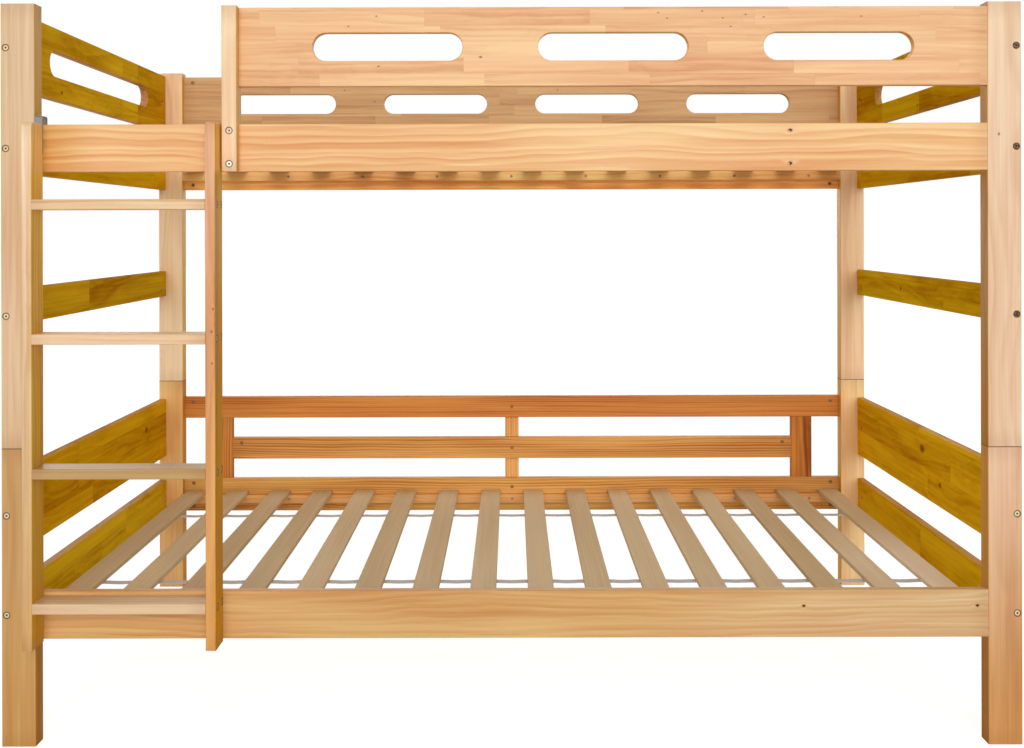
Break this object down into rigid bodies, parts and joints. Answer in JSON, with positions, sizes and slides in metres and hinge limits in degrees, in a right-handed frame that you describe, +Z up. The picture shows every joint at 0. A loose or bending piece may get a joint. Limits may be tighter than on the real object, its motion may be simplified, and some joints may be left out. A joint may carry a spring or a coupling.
{
  "type": "bunk bed",
  "caption": "Solid pine bunk bed of stacked single beds on slatted bases, with slotted guards round the upper bed and a hook-on ladder.",
  "frame": {"origin": "middle of the footprint on the floor, the ladder included", "axes": "+Z up, X along the bed, -Y towards the ladder side, +Y towards the wall"},
  "size_m": [2.04, 1.0924, 1.485],
  "materials": {
    "post_pine": "clear satin lacquer",
    "rail_pine": "clear satin lacquer",
    "guard_pine": "clear satin lacquer",
    "end_board_pine": "clear satin lacquer",
    "ladder_pine": "clear satin lacquer",
    "slat_wood": "sanded, bare",
    "dowel_wood": "bare beech",
    "strap_webbing": "woven polyester webbing",
    "bright_steel": "zinc plated",
    "pad_rubber": "matt black"
  },
  "bodies": {
    "lower_bunk": {"lower_front_left_post": "post_pine", "lower_front_right_post": "post_pine", "lower_back_left_post": "post_pine", "lower_back_right_post": "post_pine", "lower_front_rail": "rail_pine", "lower_front_ledger": "rail_pine", "lower_back_rail": "rail_pine", "lower_back_ledger": "rail_pine", "lower_left_end_rail": "end_board_pine", "lower_left_end_board": "end_board_pine", "lower_right_end_rail": "end_board_pine", "lower_right_end_board": "end_board_pine", "lower_end_bolts": "bright_steel", "lower_side_bolts": "bright_steel", "lower_barrel_nuts": "bright_steel", "lower_ledger_screws": "bright_steel", "lower_guard_top_board": "guard_pine", "lower_guard_middle_board": "guard_pine", "lower_guard_left_batten": "guard_pine", "lower_guard_right_batten": "guard_pine", "lower_guard_centre_batten": "guard_pine", "lower_guard_screws": "bright_steel", "post_dowels": "dowel_wood"},
    "lower_slat_base": {"lower_slats": "slat_wood", "lower_front_strap": "strap_webbing", "lower_back_strap": "strap_webbing"},
    "upper_bunk": {"upper_front_left_post": "post_pine", "upper_front_right_post": "post_pine", "upper_back_left_post": "post_pine", "upper_back_right_post": "post_pine", "upper_front_rail": "rail_pine", "upper_front_ledger": "rail_pine", "upper_back_rail": "rail_pine", "upper_back_ledger": "rail_pine", "upper_left_end_rail": "end_board_pine", "upper_left_middle_board": "end_board_pine", "upper_left_end_guard": "end_board_pine", "upper_right_end_rail": "end_board_pine", "upper_right_middle_board": "end_board_pine", "upper_right_end_guard": "end_board_pine", "upper_end_bolts": "bright_steel", "upper_side_bolts": "bright_steel", "upper_barrel_nuts": "bright_steel", "upper_ledger_screws": "bright_steel", "upper_back_guard": "guard_pine", "upper_front_guard": "guard_pine", "front_guard_upright": "rail_pine", "upright_screws": "bright_steel"},
    "upper_slat_base": {"upper_slats": "slat_wood", "upper_front_strap": "strap_webbing", "upper_back_strap": "strap_webbing"},
    "ladder": {"ladder_left_stile": "ladder_pine", "ladder_right_stile": "ladder_pine", "ladder_tread_1": "ladder_pine", "ladder_tread_2": "ladder_pine", "ladder_tread_3": "ladder_pine", "ladder_tread_4": "ladder_pine", "ladder_hooks": "bright_steel", "ladder_hook_pad": "pad_rubber", "ladder_screws": "bright_steel"}
  },
  "joints": [
    {"name": "upper_bunk_lift", "type": "slide", "parent": "lower_bunk", "child": "upper_bunk", "axis": [0, 0, 1], "range_m": [0, 0.06]},
    {"name": "lower_slat_lift", "type": "slide", "parent": "lower_bunk", "child": "lower_slat_base", "axis": [0, 0, 1], "range_m": [0, 0.06]},
    {"name": "upper_slat_lift", "type": "slide", "parent": "upper_bunk", "child": "upper_slat_base", "axis": [0, 0, 1], "range_m": [0, 0.06]},
    {"name": "ladder_lift", "type": "slide", "parent": "upper_bunk", "child": "ladder", "axis": [0, 0, 1], "range_m": [0, 0.04]}
  ]
}
